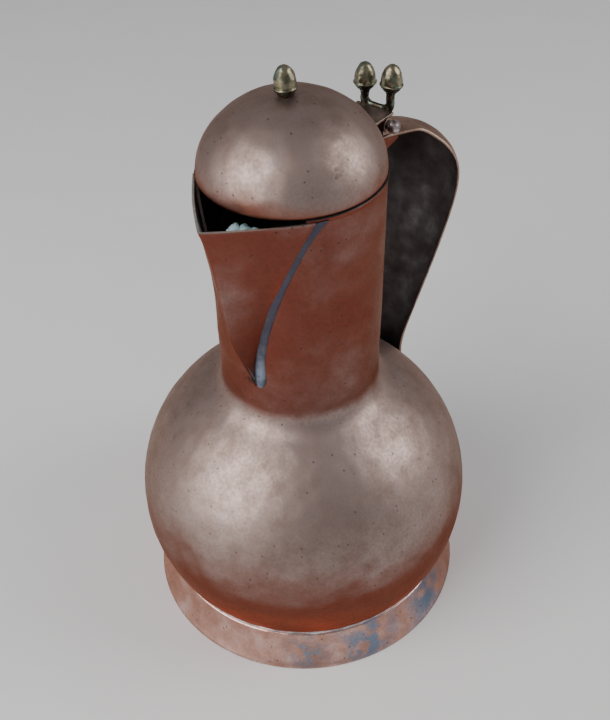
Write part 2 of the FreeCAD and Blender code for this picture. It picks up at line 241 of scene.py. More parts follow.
def planished(points, spacing, bend_radius, flatness, tilt, seed):
    """Height of the hammer's flat facets over a curved surface, in millimetres."""
    rng = np.random.default_rng(seed)
    centres = scattered(points, spacing * 0.8, rng)
    tilts = rng.normal(0.0, tilt, (len(centres), 3))
    tree = kdtree.KDTree(len(centres))
    for index, centre in enumerate(centres):
        tree.insert(centre, index)
    tree.balance()
    count = min(4, len(centres))
    found = [[hit[1] for hit in tree.find_n(point, count)] for point in points]
    nearest = np.array(found)
    away = points[:, None, :] - centres[nearest]
    square = np.sum(away ** 2, axis=2)
    height = square * flatness / (2 * bend_radius) + np.sum(away * tilts[nearest], axis=2)
    weight = np.exp(-(square - square[:, :1]) / (0.6 * spacing) ** 2)
    height = np.sum(height * weight, axis=1) / np.sum(weight, axis=1)
    return height - np.mean(height)


def waves(points, size, seed):
    """Smooth noise between -1 and 1 with bumps about one size across."""
    shift = Vector((seed * 17.3, seed * 5.1, seed * 9.7))
    return np.array([noise.noise(Vector(p) / size + shift) for p in points])


def hollows(points, marks):
    """Soft dents and swellings: each mark is a centre, a width and a height."""
    height = np.zeros(len(points))
    for centre, width, rise in marks:
        square = np.sum((points - np.array(centre)) ** 2, axis=1)
        height += rise * np.exp(-square / (width * width))
    return height


# ---------------------------------------------------------------- materials

class Paint:
    """One procedural material. Its sizes are in millimetres of the piece's own space."""

    def __init__(self, name, metallic=1.0, roughness=0.4):
        self.material = bpy.data.materials.new(name)
        self.material.use_nodes = True
        self.tree = self.material.node_tree
        self.shader = self.tree.nodes["Principled BSDF"]
        self.shader.inputs["Metallic"].default_value = metallic
        self.shader.inputs["Roughness"].default_value = roughness
        coordinates = self.tree.nodes.new("ShaderNodeTexCoord")
        scale = self.tree.nodes.new("ShaderNodeVectorMath")
        scale.operation = "SCALE"
        scale.inputs["Scale"].default_value = 1.0 / MM
        self.link(coordinates.outputs["Object"], scale.inputs[0])
        self.place = scale.outputs[0]
        self.facing = coordinates.outputs["Normal"]

    def link(self, source, target):
        self.tree.links.new(source, target)

    def put(self, value, socket):
        """Set a socket to a number or colour, or link it to another socket."""
        if isinstance(value, bpy.types.NodeSocket):
            self.link(value, socket)
        elif isinstance(value, (tuple, list)):
            socket.default_value = tuple(value) + (1.0,)
        else:
            socket.default_value = value

    def noise(self, size, detail=3.0, seed=0.0, distortion=0.0, stretch=(1, 1, 1)):
        """Noise between 0 and 1 with blotches about one size across."""
        stretched = self.tree.nodes.new("ShaderNodeVectorMath")
        stretched.operation = "MULTIPLY"
        self.link(self.place, stretched.inputs[0])
        stretched.inputs[1].default_value = stretch
        texture = self.tree.nodes.new("ShaderNodeTexNoise")
        texture.noise_dimensions = "4D"
        self.link(stretched.outputs[0], texture.inputs["Vector"])
        texture.inputs["W"].default_value = seed
        texture.inputs["Scale"].default_value = 1.0 / size
        texture.inputs["Detail"].default_value = detail
        texture.inputs["Distortion"].default_value = distortion
        return texture.outputs["Fac"]

    def cells(self, size, output="Distance"):
        """Distance to the nearest of a set of scattered points, or that point's colour."""
        texture = self.tree.nodes.new("ShaderNodeTexVoronoi")
        self.link(self.place, texture.inputs["Vector"])
        texture.inputs["Scale"].default_value = 1.0 / size
        return texture.outputs[output]

    def math(self, operation, first, second=0.0):
        node = self.tree.nodes.new("ShaderNodeMath")
        node.operation = operation
        self.put(first, node.inputs[0])
        self.put(second, node.inputs[1])
        return node.outputs[0]

    def ease(self, value, start, end, low_value=0.0, high_value=1.0):
        """Smooth change from one value to another as the input goes from start to end."""
        node = self.tree.nodes.new("ShaderNodeMapRange")
        node.interpolation_type = "SMOOTHSTEP"
        self.put(value, node.inputs["Value"])
        node.inputs["From Min"].default_value = start
        node.inputs["From Max"].default_value = end
        node.inputs["To Min"].default_value = low_value
        node.inputs["To Max"].default_value = high_value
        return node.outputs["Result"]

    def mix(self, share, first, second):
        """Colour between the first and the second."""
        node = self.tree.nodes.new("ShaderNodeMix")
        node.data_type = "RGBA"
        self.put(share, node.inputs[0])
        self.put(first, node.inputs[6])
        self.put(second, node.inputs[7])
        return node.outputs[2]

    def part(self, vector, axis):
        """One coordinate of a vector."""
        node = self.tree.nodes.new("ShaderNodeSeparateXYZ")
        self.link(vector, node.inputs[0])
        return node.outputs[axis]

    def near(self, centre, width):
        """1 at a point and 0 beyond a width from it."""
        node = self.tree.nodes.new("ShaderNodeVectorMath")
        node.operation = "DISTANCE"
        self.link(self.place, node.inputs[0])
        node.inputs[1].default_value = centre
        return self.ease(node.outputs["Value"], width, 0.0)

    def bump(self, height, distance, strength=1.0):
        node = self.tree.nodes.new("ShaderNodeBump")
        node.inputs["Strength"].default_value = strength
        node.inputs["Distance"].default_value = distance * MM
        self.link(height, node.inputs["Height"])
        previous = self.shader.inputs["Normal"].links
        if previous:
            self.link(previous[0].from_socket, node.inputs["Normal"])
        self.link(node.outputs[0], self.shader.inputs["Normal"])

    def finish(self, colour, roughness):
        self.put(colour, self.shader.inputs["Base Color"])
        self.put(roughness, self.shader.inputs["Roughness"])
        return self.material


def copper(name, dark, mid, light, painted_reflection_red, reflection_from, reflection_to, painted_reflection_warm=None, rough=0.36, seed=0.0,
           marks=()):
    """Old satin copper: mottled browns, pinker where rubbed, with a painted reflection of a warm
    surround: redder on upright faces and warmer still on faces that look down."""
    paint = Paint(name)
    clouds = paint.noise(34.0, 4.0, seed, 0.6)
    blotches = paint.noise(9.0, 5.0, seed + 3.1)
    grain = paint.noise(1.3, 4.0, seed + 7.7)
    tone = paint.math("ADD", paint.math("MULTIPLY", clouds, 0.45),
                      paint.math("MULTIPLY", blotches, 0.55))
    colour = paint.mix(paint.ease(tone, 0.34, 0.52), dark, mid)
    colour = paint.mix(paint.ease(tone, 0.46, 0.68), colour, light)
    # Painted reflection of a warm surround: faces that stand upright get the red tint and faces
    # that look down get the warm tint. The mask follows each face's direction and is broken up by
    # the clouds.
    up = paint.math("ADD", paint.part(paint.facing, "Z"),
                    paint.math("MULTIPLY", paint.math("SUBTRACT", clouds, 0.5), 0.55))
    colour = paint.mix(paint.ease(up, reflection_from, reflection_to, 0.0, 0.9), colour, painted_reflection_red)
    if painted_reflection_warm:
        colour = paint.mix(paint.ease(up, -0.1, -0.62), colour, painted_reflection_warm)
    # Each mark tints a ragged patch round a point. The dome's and the foot's marks are stains and
    # patches; the vessel's is painted shade under the spout's tip.
    for centre, width, tint, share in marks:
        ragged = paint.math("MULTIPLY", paint.near(centre, width),
                            paint.ease(paint.noise(width * 0.3, 5.0, seed + 1.0), 0.38, 0.6))
        colour = paint.mix(paint.math("MULTIPLY", ragged, share), colour, tint)
    speckle = paint.ease(grain, 0.3, 0.7)
    colour = paint.mix(paint.math("MULTIPLY", speckle, 0.2), colour, (0.07, 0.045, 0.038))
    rare = paint.math("GREATER_THAN", paint.part(paint.cells(3.6, "Color"), "X"), 0.55)
    pit = paint.math("MULTIPLY", paint.ease(paint.cells(3.6), 0.17, 0.06), rare)
    colour = paint.mix(paint.math("MULTIPLY", pit, 0.75), colour, (0.05, 0.035, 0.03))
    roughness = paint.math("ADD", paint.ease(tone, 0.35, 0.65, rough + 0.05, rough - 0.03),
                           paint.ease(grain, 0.35, 0.65, -0.03, 0.03))
    paint.shader.inputs["Specular Tint"].default_value = (0.72, 0.58, 0.50, 1.0)
    paint.bump(grain, 0.05, 0.5)
    paint.bump(blotches, 0.25, 0.35)
    paint.bump(paint.noise(0.5, 2.0, seed, 0.0, (1.0, 1.0, 6.0)), 0.012, 0.5)
    return paint.finish(colour, roughness)


def tinned(name):
    """Dull blackened tin inside the vessel, with green spots."""
    paint = Paint(name, 0.35)
    clouds = paint.noise(12.0, 5.0, 4.0, 0.8)
    colour = paint.mix(paint.ease(clouds, 0.35, 0.62), (0.06, 0.058, 0.054), (0.24, 0.235, 0.22))
    green = paint.ease(paint.noise(5.0, 5.0, 9.0), 0.56, 0.68)
    colour = paint.mix(paint.math("MULTIPLY", green, 0.55), colour, (0.16, 0.26, 0.22))
    paint.bump(paint.noise(2.0, 4.0), 0.2, 0.5)
    return paint.finish(colour, paint.ease(clouds, 0.3, 0.7, 0.62, 0.42))


def solder(name, base, pale, metallic=0.75, upper_tone=None):
    """Soft solder gone blue-grey, with pale oxide and rough grain, darker higher up."""
    paint = Paint(name, metallic)
    clouds = paint.noise(6.0, 5.0, 2.0, 0.5)
    fine = paint.noise(1.1, 5.0, 5.0)
    colour = paint.mix(paint.ease(clouds, 0.38, 0.64), base, pale)
    if upper_tone:
        height = paint.part(paint.place, "Z")
        colour = paint.mix(paint.ease(height, 152.0, 176.0, 0.0, 0.9), colour, upper_tone)
    colour = paint.mix(paint.ease(fine, 0.56, 0.72, 0.0, 0.4), colour, (0.10, 0.07, 0.06))
    paint.bump(fine, 0.22, 0.6)
    paint.bump(clouds, 0.5, 0.4)
    return paint.finish(colour, paint.ease(fine, 0.3, 0.7, 0.36, 0.6))


def brass(name, dark, bright, green_share):
    """Cast brass with dark olive patina and green in patches."""
    paint = Paint(name)
    clouds = paint.noise(3.4, 5.0, 6.0, 0.4)
    fine = paint.noise(0.7, 4.0, 1.0)
    colour = paint.mix(paint.ease(clouds, 0.36, 0.62), dark, bright)
    green = paint.ease(paint.noise(2.0, 5.0, 11.0), 0.5, 0.66)
    colour = paint.mix(paint.math("MULTIPLY", green, green_share), colour, (0.16, 0.25, 0.20))
    paint.bump(fine, 0.06, 0.6)
    paint.bump(clouds, 0.2, 0.4)
    return paint.finish(colour, paint.ease(clouds, 0.3, 0.7, 0.46, 0.26))


# ---------------------------------------------------------------- pieces

def place_piece(obj, body, nodes, materials):
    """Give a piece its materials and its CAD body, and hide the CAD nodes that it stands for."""
    for material in materials:
        obj.data.materials.append(material)
    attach(obj, body)
    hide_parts(*nodes)
    return obj


def mesh_piece(name, points, faces, face_slots=None):
    """Object from points in millimetres, with doubled points welded."""
    mesh = bpy.data.meshes.new(name)
    mesh.from_pydata((np.array(points) * MM).tolist(), [], faces)
    if face_slots is not None:
        mesh.polygons.foreach_set("material_index", np.array(face_slots, np.int32))
    shape = bmesh.new()
    shape.from_mesh(mesh)
    bmesh.ops.remove_doubles(shape, verts=shape.verts, dist=2e-6)
    bmesh.ops.recalc_face_normals(shape, faces=shape.faces)
    shape.to_mesh(mesh)
    shape.free()
    mesh.shade_smooth()
    obj = bpy.data.objects.new(name, mesh)
    bpy.context.scene.collection.objects.link(obj)
    return obj


def applied(obj):
    """Replace an object's mesh by its modified mesh."""
    graph = bpy.context.evaluated_depsgraph_get()
    mesh = bpy.data.meshes.new_from_object(obj.evaluated_get(graph))
    obj.modifiers.clear()
    obj.data = mesh
    return obj


def turned(profile, columns):
    """Grid of a profile (radius, height) turned about the jug's axis, with its normals."""
    angles = np.linspace(0.0, 2 * math.pi, columns, endpoint=False)
    around = np.stack([np.cos(angles), np.sin(angles)], axis=1)
    radius, height = profile[:, 0], profile[:, 1]
    along = np.gradient(profile, axis=0)
    along /= np.maximum(np.linalg.norm(along, axis=1, keepdims=True), 1e-9)
    grid = np.zeros((len(profile), columns, 3))
    grid[:, :, :2] = radius[:, None, None] * around[None]
    grid[:, :, 2] = height[:, None]
    normals = np.zeros_like(grid)
    normals[:, :, :2] = along[:, 1][:, None, None] * around[None]
    normals[:, :, 2] = -along[:, 0][:, None]
    return grid, normals


def raised(grid, normals, height):
    """Grid moved along its normals."""
    return grid + normals * height.reshape(grid.shape[:2])[:, :, None]


# ---------------------------------------------------------------- vessel

def vessel_outline(inset, rim_inset):
    """Path (radius, height) from the axis at the base up to the rim."""
    across, up = globe_radius - inset, globe_half_height - inset
    top = math.acos((shoulder_radius - inset) / across)
    bottom = -math.asin((globe_centre_z - base_z - 3.0) / up)
    t = np.linspace(bottom, top, 300)
    wall = np.stack([across * np.cos(t), globe_centre_z + up * np.sin(t)], axis=1)
    slope = -up * math.cos(top) / (across * math.sin(top))
    base_edge = (base_radius, base_z + inset)
    base_corner = (wall[0][0] - 4.0, base_z + inset)
    neck_foot = (neck_foot_radius - inset, neck_foot_z)
    shoulder = (neck_foot[0], wall[-1][1] + slope * (neck_foot[0] - wall[-1][0]))
    rim = (rim_radius - rim_inset, rim_z)
    return joined([(0.0, base_z + inset)], bezier(base_edge, base_corner, wall[0]), wall,
                  bezier(wall[-1], shoulder, neck_foot), [rim])


def neck_r(z):
    share = (z - neck_foot_z) / (rim_z - neck_foot_z)
    return neck_foot_radius + share * (rim_radius - neck_foot_radius)


def spout_share(z):
    return (z - spout_apex_z) / (spout_lip_z - spout_apex_z)


def seam_angle(z):
    """Angle from the spout's middle to the line where its sheet meets the neck."""
    return spout_lip_angle * max(spout_share(z), 0.0) ** seam_bow


def leaned(points, z):
    """Section points turned by the lean that the spout has at height z."""
    angle = spout_lean * (1.0 - min(spout_share(z), 1.0))
    c, s = math.cos(angle), math.sin(angle)
    points = np.array(points, float)
    return np.stack([points[:, 0] * c - points[:, 1] * s, points[:, 0] * s + points[:, 1] * c,
                     np.full(len(points), z)], axis=1)


def window_cutter():
    """Wedge from the axis that cuts the V behind the spout."""
    rows = []
    for z in list(np.linspace(window_start_z, spout_lip_z, 26)) + [rim_z + 3.0]:
        angle = max(seam_angle(min(z, spout_lip_z)) - window_margin, window_least)
        reach = 2.0 * rim_radius
        x, y = reach * math.sin(angle), reach * math.cos(angle)
        rows.append(leaned([(0, 0), (x, -y), (-x, -y)], z))
    return mesh_piece("window_cutter", np.concatenate(rows), tube_faces(len(rows), 3))


def vessel():
    """Globe and neck of one sheet with a rounded rim, dented on its left side."""
    outside = resampled(vessel_outline(0.0, rim_edge), 1.35)
    inside = resampled(vessel_outline(sheet, rim_thickness - rim_edge), 3.2)[::-1]
    rim = [(rim_radius - rim_edge * (1 - math.cos(a)), rim_z - rim_edge * (1 - math.sin(a)))
           for a in np.linspace(0.2, math.pi / 2, 4)]
    inner_rim = [(rim_radius - rim_thickness + rim_edge * (1 - math.sin(a)),
                  rim_z - rim_edge * (1 - math.cos(a))) for a in np.linspace(0.0, 1.2, 4)]
    profile = joined(outside[:-1], rim, inner_rim, inside[1:])
    grid, normals = turned(profile, vessel_columns)
    points = grid.reshape(-1, 3)
    outer = (np.arange(len(profile)) < len(outside) - 1).repeat(vessel_columns)
    height = np.zeros(len(points))
    on_globe = points[:, 2] < shoulder_z
    relief = planished(points[outer], spacing=7.0, bend_radius=74.0, flatness=0.6,
                       tilt=0.006, seed=11)
    height[outer] = relief * np.where(on_globe[outer], 1.0, 0.7) - relief_margin
    shared = 0.22 * waves(points, 34.0, 1) + 0.05 * waves(points, 13.0, 2)
    shared += hollows(points, [((-27.0, -24.0, 141.0), 22.0, -1.0),
                               ((-28.5, -23.5, 177.0), 21.0, -1.7)])
    height += np.where(outer, shared, -shared)
    fade = np.clip((rim_z - points[:, 2]) / 6.0, 0.0, 1.0) * np.clip(
        (points[:, 2] - base_z - 1.0) / 6.0, 0.0, 1.0)
    grid = raised(grid, normals, height * fade)
    slots = np.zeros((len(profile) - 1, vessel_columns), int)
    # Slot 2, the rounded rim and its inner edge, takes near-black painted shade for the lid's
    # shadow; slot 1 is the tinned inside.
    slots[len(outside) - 1:] = 2
    slots[len(outside) + 5:] = 1
    obj = mesh_piece("jug_vessel", grid.reshape(-1, 3),
                     grid_faces(len(profile), vessel_columns, False, True), slots.ravel())
    cutter = window_cutter()
    cut = obj.modifiers.new("window", "BOOLEAN")
    cut.object = cutter
    cut.solver = "EXACT"
    applied(obj)
    bpy.data.objects.remove(cutter)
    obj.data.set_sharp_from_angle(angle=math.radians(50))
    return obj


def foot():
    """Flared foot ring with a slightly uneven edge."""
    globe = globe_radius * math.sqrt(1 - ((foot_top_z - globe_centre_z) / globe_half_height) ** 2)
    top = (globe + 1.1, foot_top_z)
    inner_top = (top[0] - foot_thickness, foot_top_z - 0.2)
    outer = bezier((foot_radius, 0.5), (foot_waist_radius, foot_waist_z), top)
    inner = bezier(inner_top, (foot_waist_radius - foot_thickness, foot_waist_z),
                   (foot_radius - foot_thickness, 0.4))
    edge = [(foot_radius - 0.15, 0.15), (foot_radius - 0.5, 0.0),
            (foot_radius - foot_thickness + 0.4, 0.0), (foot_radius - foot_thickness + 0.1, 0.12)]
    profile = joined(resampled(outer, 1.0), resampled(inner, 2.0), edge[::-1])
    grid, normals = turned(profile, foot_columns)
    points = grid.reshape(-1, 3)
    height = planished(points, spacing=8.0, bend_radius=72.0, flatness=0.9, tilt=0.012, seed=5)
    height += 0.22 * waves(points, 24.0, 3)
    height *= np.clip(points[:, 2] / 5.0, 0.0, 1.0)
    grid = raised(grid, normals, height)
    return mesh_piece("jug_foot", grid.reshape(-1, 3),
                      grid_faces(len(profile), foot_columns, True, True))


def foot_bead():
    """Uneven fillet of solder between the foot ring and the globe."""
    columns, across = 420, 9
    angles = np.linspace(0.0, 2 * math.pi, columns, endpoint=False)
    rows = []
    for angle in angles:
        spot = Vector((math.cos(angle), math.sin(angle), 0.0))
        swell = 1.0 + 0.55 * noise.noise(spot * 7.0) + 0.25 * noise.noise(spot * 22.0)
        rise = 2.6 * max(swell, 0.35)
        levels = foot_top_z - 0.6 + np.linspace(0.0, rise + 0.6, across)
        wall = globe_radius * np.sqrt(1 - ((levels - globe_centre_z) / globe_half_height) ** 2)
        share = np.linspace(0.0, 1.0, across)
        proud = 1.05 * (1 - share) ** 1.4 * min(swell, 1.25)
        proud[-1] = -0.5
        outline = np.stack([wall + proud, levels], axis=1)
        outline = np.concatenate([outline, [[wall[-1] - 0.8, levels[-1]],
                                            [wall[0] - 0.8, levels[0]]]])
        rows.append(np.stack([outline[:, 0] * math.cos(angle), outline[:, 0] * math.sin(angle),
                              outline[:, 1]], axis=1))
    return mesh_piece("foot_solder", np.concatenate(rows),
                      grid_faces(columns, across + 2, True, True))


# ---------------------------------------------------------------- spout

def fold_section(z):
    """Outer line of the folded sheet at height z, from one seam to the other."""
    wall = neck_r(z) + sheet_stand_off
    reach = neck_r(z) + float(spline(*zip(*crease_stations), z)[0])
    angle = max(seam_angle(z), math.radians(0.6))
    side = np.array([wall * math.sin(angle), -wall * math.cos(angle)])
    crease = np.array([0.0, -reach])
    slope = (crease - side) / np.linalg.norm(crease - side)
    side = side - slope * min(1.2, 0.12 * np.linalg.norm(crease - side))
    length = np.linalg.norm(crease - side)
    turn = crease - slope * min(fold_radius, 0.35 * length)
    mirror = np.array([-1.0, 1.0])
    share = np.linspace(0.0, 1.0, face_columns)[:, None]
    outward = np.array([-slope[1], slope[0]])
    if np.dot(outward, crease + side) < 0:
        outward = -outward
    belly = spout_belly * np.clip(spout_share(z), 0.0, 1.0)
    face = side + (turn - side) * share + outward * belly * np.sin(math.pi * share)
    fold = bezier(turn, crease, turn * mirror, count=9)
    return np.concatenate([face[:-1], fold, (face * mirror)[::-1][1:]])


def offset_line(line, distance):
    """Plane line moved to its left-hand side by a distance."""
    along = np.gradient(line, axis=0)
    along /= np.maximum(np.linalg.norm(along, axis=1, keepdims=True), 1e-9)
    return line + distance * np.stack([-along[:, 1], along[:, 0]], axis=1)


def spout():
    """The folded sheet, its raw edge showing at the lip."""
    outer_rows, inner_rows = [], []
    heights = np.concatenate([np.linspace(spout_apex_z + 0.6, 165.0, 20)[:-1],
                              np.linspace(165.0, spout_lip_z, 54)])
    for z in heights:
        line = fold_section(z)
        outer_rows.append(leaned(line, z))
        inner_rows.append(leaned(offset_line(line, -spout_sheet), z))
    outer, inner = np.array(outer_rows), np.array(inner_rows)
    normals = grid_normals(outer)
    if np.mean(normals[-1, :, 1]) > 0:
        normals = -normals
    points = outer.reshape(-1, 3)
    height = planished(points, spacing=8.0, bend_radius=90.0, flatness=0.8, tilt=0.009, seed=21)
    height += 0.25 * waves(points, 22.0, 6)
    fade = np.clip((spout_lip_z - points[:, 2]) / 4.0, 0.15, 1.0)
    shift = normals * (height * fade).reshape(outer.shape[:2])[:, :, None]
    outer, inner = outer + shift, inner + shift
    rows, columns = outer.shape[:2]
    loop = np.concatenate([outer, inner[:, ::-1]], axis=1)
    count = loop.shape[1]
    faces = grid_faces(rows, count, False, True)
    slots = ([0] * (columns - 1) + [2] + [1] * (columns - 1) + [2]) * (rows - 1)
    for start in (0, (rows - 1) * count):
        for j in range(columns - 1):
            k = count - 1 - j
            faces.append([start + j, start + j + 1, start + k - 1, start + k])
            slots.append(2)
    obj = mesh_piece("spout_sheet", loop.reshape(-1, 3), faces, slots)
    bevel = obj.modifiers.new("worn_edge", "BEVEL")
    bevel.width = 0.22 * MM
    bevel.segments = 2
    bevel.limit_method = "ANGLE"
    bevel.angle_limit = math.radians(50)
    applied(obj)
    obj.data.shade_smooth()
    return obj


def seam_bead(side):
    """Flat uneven strip of solder beside the spout, from the lip down to the drop."""
    across = 15
    start = drop_z - 7.0 if side > 0 else drop_z - 3.0
    heights = np.linspace(start, spout_lip_z - 0.3, 150)
    rows = []
    for z in heights:
        wall = neck_r(max(z, neck_foot_z))
        spot = Vector((side * 3.0, 0.0, z / 5.0))
        wander = 0.5 * noise.noise(spot * 0.5) + 0.25 * noise.noise(spot * 1.9)
        drop = math.exp(-((z - drop_z) / 6.0) ** 2) if side > 0 else 0.0
        flare = max(0.0, (z - strip_flare_z) / 12.0) ** 2
        end = min(1.0, (z - heights[0]) / 3.5) ** 0.5
        left = seam_angle(z) * wall - 0.6 - 1.0 * drop
        right = seam_angle(z) * wall + (strip_width + 0.4 * wander) + 0.9 * drop + 3.2 * flare
        if side < 0:
            right -= 1.6
        middle, half = (left + right) / 2, max((right - left) / 2 * end, 0.05)
        spread = np.linspace(-1.0, 1.0, across)
        arch = np.minimum(1.0, 2.2 * (1.0 - np.abs(spread))) ** 0.6
        ripple = np.array([noise.noise(spot * 2.6 + Vector((0.0, 2.0 * c, 0.0))) for c in spread])
        proud = (0.34 + 0.10 * wander + 0.8 * drop + 0.10 * ripple) * arch * end - 0.2
        angle = side * (middle + spread * half) / wall
        top = np.stack([(wall + proud) * np.sin(angle), -(wall + proud) * np.cos(angle)], axis=1)
        root = wall - 0.7
        foot_line = np.stack([root * np.sin(angle), -root * np.cos(angle)], axis=1)[[-1, 0]]
        rows.append(leaned(np.concatenate([top, foot_line]), z))
    name = "spout_solder_right" if side > 0 else "spout_solder_left"
    return mesh_piece(name, np.concatenate(rows), tube_faces(len(rows), across + 2))


def mouth_solder():
    """Lumps of solder left inside the spout along its right-hand face."""
    rng = np.random.default_rng(8)
    steps, turns = 10, 18
    tilt = np.linspace(0.0, math.pi, steps)[:, None]
    turn = np.linspace(0.0, 2 * math.pi, turns, endpoint=False)[None, :]
    points, faces = [], []
    for z, along, width, depth, tall in mouth_lumps:
        section = leaned(offset_line(fold_section(z), -spout_sheet), z)
        fold = face_columns - 1
        spot = section[int((1.0 - along) * fold)]
        way = section[fold] - section[0]
        inward = np.array([way[1], -way[0]]) / math.hypot(way[0], way[1])
        if np.dot(inward, spot[:2]) > 0:
            inward = -inward
        lump = np.stack([width * np.sin(tilt) * np.cos(turn), depth * np.sin(tilt) * np.sin(turn),
                         np.broadcast_to(tall * np.cos(tilt), (steps, turns))], axis=-1)
        lump = lump.reshape(-1, 3)
        lump *= 1.0 + 0.25 * waves(lump + rng.uniform(0, 50, 3), 2.4, 3)[:, None]
        angle = math.atan2(way[1], way[0])
        c, s = math.cos(angle), math.sin(angle)
        lump[:, :2] = lump[:, :2] @ np.array([[c, s], [-s, c]])
        lump[:, :2] += inward * np.clip(lump[:, :2] @ -inward, 0.0, None)[:, None]
        faces += [[v + len(points) * steps * turns for v in face]
                  for face in grid_faces(steps, turns, False, True)]
        points.append(lump + spot)
    return mesh_piece("mouth_solder", np.concatenate(points), faces)


# ---------------------------------------------------------------- handle

def strap_arc(y, z, half, rise, out, depth):
    """Arched line across the strap, at a depth below its outer face."""
    radius = (half * half + rise * rise) / (2 * rise)
    spread = math.asin(min(half / radius, 1.0))
    if rise > half:
        spread = math.pi - spread
    angles = np.linspace(-spread, spread, strap_columns)
    up = rise - radius * (1 - np.cos(angles)) - depth
    return np.stack([radius * np.sin(angles), y + out[1] * up, z + out[2] * up], axis=1)


def strap_loop(station, ahead):
    """Closed section of the strap: outer face, rounded edge, inner face, rounded edge."""
    length = math.hypot(*ahead)
    out = np.array([0.0, -ahead[1] / length, ahead[0] / length])
    outer = strap_arc(*station, out, 0.0)
    inner = strap_arc(*station, out, strap_thickness)[::-1]
    edges = []
    for corner, other in ((outer[-1], inner[0]), (inner[-1], outer[0])):
        bulge = np.array([np.sign(corner[0]) * strap_edge_bulge, 0.0, 0.0])
        edges.append(np.array([corner * 0.8 + other * 0.2 + bulge * 0.75,
                               (corner + other) / 2 + bulge,
                               corner * 0.2 + other * 0.8 + bulge * 0.75]))
    return np.concatenate([outer, edges[0], inner, edges[1]])


def strap():
    """Arched strap with rounded edges and a lightly hammered face."""
    stations = np.array(strap_stations)
    run = run_along(stations[:, :2])
    at = np.arange(2.6, run[-1], 1.5)
    ahead = spline(run, stations, at + 0.05)[:, :2] - spline(run, stations, at - 0.05)[:, :2]
    loop = np.array([strap_loop(station, way)
                     for station, way in zip(spline(run, stations, at), ahead)])
    rows, count = loop.shape[:2]
    outer = loop[:, :strap_columns]
    normals = grid_normals(outer)
    grip = np.array([0.0, 60.0, 170.0])
    centre = (rows // 2, strap_columns // 2)
    if np.dot(normals[centre], outer[centre] - grip) < 0:
        normals = -normals
    points = outer.reshape(-1, 3)
    height = planished(points, spacing=9.0, bend_radius=60.0, flatness=0.8, tilt=0.01, seed=31)
    height += 0.3 * waves(points, 26.0, 8)
    shift = normals * height.reshape(rows, strap_columns)[:, :, None]
    edge = (count - 2 * strap_columns) // 2
    loop[:, :strap_columns] += shift
    loop[:, strap_columns + edge:count - edge] += shift[:, ::-1]
    face_run, edge_run = strap_columns - 1, edge + 1
    # Slot 1 is the strap's inner face, which takes near-black painted shade.
    around = [0] * face_run + [2] * edge_run + [1] * face_run + [2] * edge_run
    return mesh_piece("strap_handle", loop.reshape(-1, 3), tube_faces(rows, count),
                      around * (rows - 1) + [2, 2])


def worn_copy(name, node, voxel, smooth_steps, grain=0.0, seed=0):
    """Copy of a CAD node with its edges rounded by wear and its faces a little uneven."""
    obj = bpy.data.objects.new(name, frame["nodes"][node].data.copy())
    obj.data.materials.clear()
    bpy.context.scene.collection.objects.link(obj)
    weld = obj.modifiers.new("weld", "WELD")
    weld.merge_threshold = 1e-6
    remesh = obj.modifiers.new("even", "REMESH")
    remesh.mode = "VOXEL"
    remesh.voxel_size = voxel * MM
    soften = obj.modifiers.new("wear", "SMOOTH")
    soften.factor = 0.5
    soften.iterations = smooth_steps
    applied(obj)
    if grain:
        points = np.array([v.co for v in obj.data.vertices]) / MM
        normals = np.array([v.normal for v in obj.data.vertices])
        points += normals * (grain * waves(points, 2.6, seed))[:, None]
        obj.data.vertices.foreach_set("co", (points * MM).ravel())
    obj.data.shade_smooth()
    return obj


def ball(name, side):
    """Ball end of the hinge pin, flattened a little at its tip."""
    t = np.linspace(0.0, math.pi, 40)
    profile = np.stack([ball_radius * np.sin(t), -ball_radius * np.cos(t)], axis=1)
    flat = ball_flat * ball_radius
    tip = profile[:, 1] > flat
    profile[tip, 1] = flat + 0.3 * (profile[tip, 1] - flat)
    neck = joined([(0.0, -5.4), (pin_radius, -5.4), (pin_radius, -2.6)], profile[6:])
    grid, normals = turned(neck, 40)
    grid = raised(grid, normals, 0.05 * waves(grid.reshape(-1, 3), 1.6, 2 + side))
    points = grid.reshape(-1, 3)
    points = np.stack([side * (ball_x + points[:, 2]), hinge_y + points[:, 0],
                       hinge_z + points[:, 1]], axis=1)
    return mesh_piece(name, points, grid_faces(len(neck), 40, False, True))


# ---------------------------------------------------------------- lid

def dome_outline(inset):
    """Path (radius, height) of the dome from its edge to its crown."""
    radius, height = dome_radius - inset, lid_top - lid_low - inset
    return bezier((radius, lid_low), (radius, lid_low + dome_fullness * height),
                  (dome_fullness * radius, lid_low + height), (0.0, lid_low + height), count=200)


def dome():
    """Raised dome with a rounded edge, flattened a little on its left side."""
    outside = resampled(dome_outline(0.0), 0.95)
    inside = resampled(dome_outline(lid_sheet), 2.4)[::-1]
    edge = [(dome_radius - lid_sheet + 0.35, lid_low), (dome_radius - 0.35, lid_low)]
    outside[0] = (dome_radius - 0.06, lid_low + 0.28)
    inside[-1] = (dome_radius - lid_sheet + 0.06, lid_low + 0.28)
    profile = joined(inside, edge, outside)
    grid, normals = turned(profile, lid_columns)
    points = grid.reshape(-1, 3)
    outer = np.repeat(np.arange(len(profile)) >= len(profile) - len(outside), lid_columns)
    height = np.zeros(len(points))
    height[outer] = planished(points[outer], spacing=7.5, bend_radius=34.0, flatness=0.42,
                              tilt=0.008, seed=41)
    shared = 0.16 * waves(points, 22.0, 12) + 0.05 * waves(points, 9.0, 13)
    shared += hollows(points, [((-23.0, -13.0, 253.0), 14.0, -0.8)])
    height += np.where(outer, shared, -shared)
    height *= np.clip((points[:, 2] - lid_low) / 5.0, 0.0, 1.0)
    grid = raised(grid, normals, height)
    slots = np.zeros((len(profile) - 1, lid_columns), int)
    slots[:len(inside)] = 1
    return mesh_piece("dome_lid", grid.reshape(-1, 3),
                      grid_faces(len(profile), lid_columns, False, True), slots.ravel())


